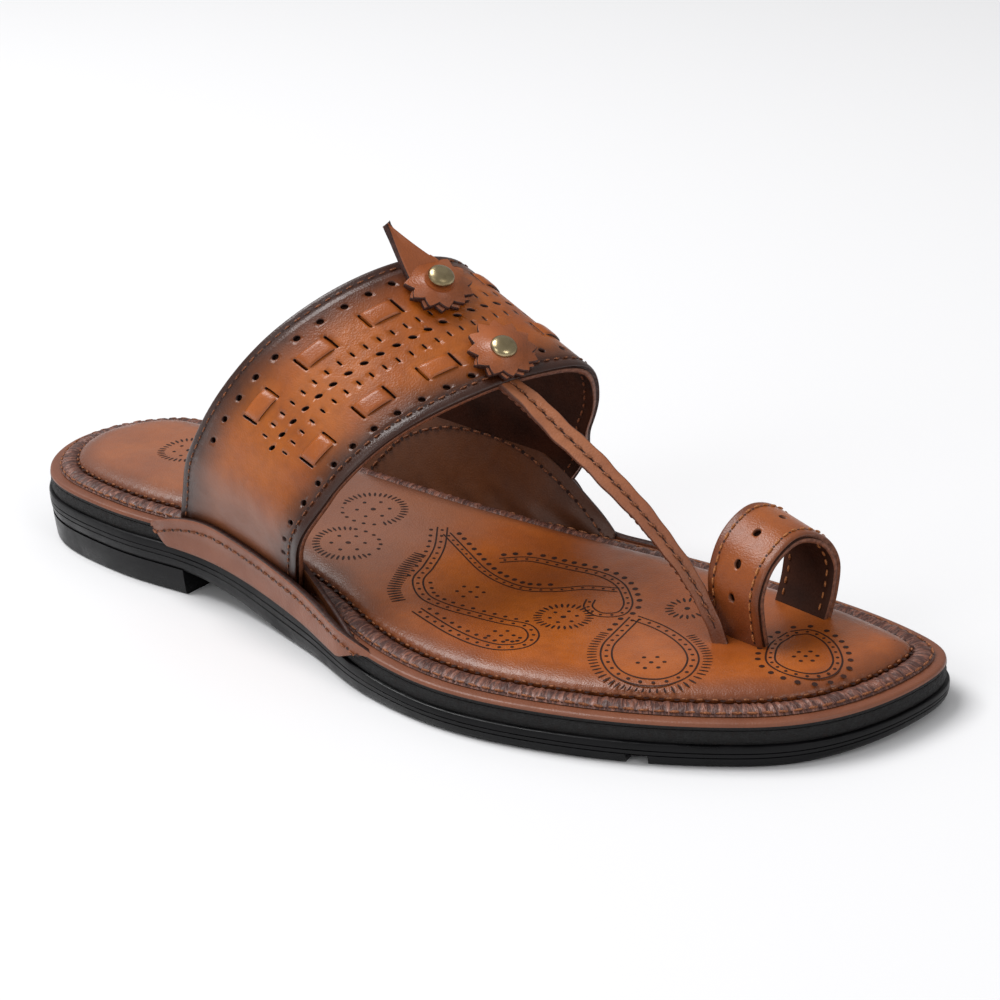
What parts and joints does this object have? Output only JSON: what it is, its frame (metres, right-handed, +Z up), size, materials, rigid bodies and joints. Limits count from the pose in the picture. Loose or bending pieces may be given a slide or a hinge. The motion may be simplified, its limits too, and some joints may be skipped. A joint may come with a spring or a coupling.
{
  "type": "kolhapuri sandal",
  "caption": "Open leather sandal with a broad perforated instep band, a braided toe strap, a big-toe loop, a puffed stamped footbed and a low-heeled black rubber sole.",
  "frame": {"origin": "centre of the bounding box at the floor", "axes": "+Z up, -Y towards the toe, -X towards the lateral side of this right foot"},
  "size_m": [0.0999, 0.2828, 0.1032],
  "materials": {
    "sole_rubber": "black satin moulded rubber",
    "board_edge": "black painted rough board edge",
    "footbed_leather": "smooth tan leather with burnt stamping",
    "binding_leather": "gathered dark brown thin leather",
    "upper_leather": "burnished orange-tan leather, dark edges",
    "rivet_brass": "antique brass"
  },
  "bodies": {
    "root": {"outsole": "sole_rubber", "midsole_board": "board_edge", "footbed_cover": "footbed_leather", "gathered_strip": "binding_leather", "footbed_pad": "footbed_leather", "flap_lateral": "upper_leather", "flap_medial": "upper_leather", "upper": "upper_leather", "toe_ring": "upper_leather", "rosette_upper": "upper_leather", "rosette_lower": "upper_leather", "rivet_upper": "rivet_brass", "rivet_lower": "rivet_brass", "spike_tab": "upper_leather"}
  },
  "joints": []
}
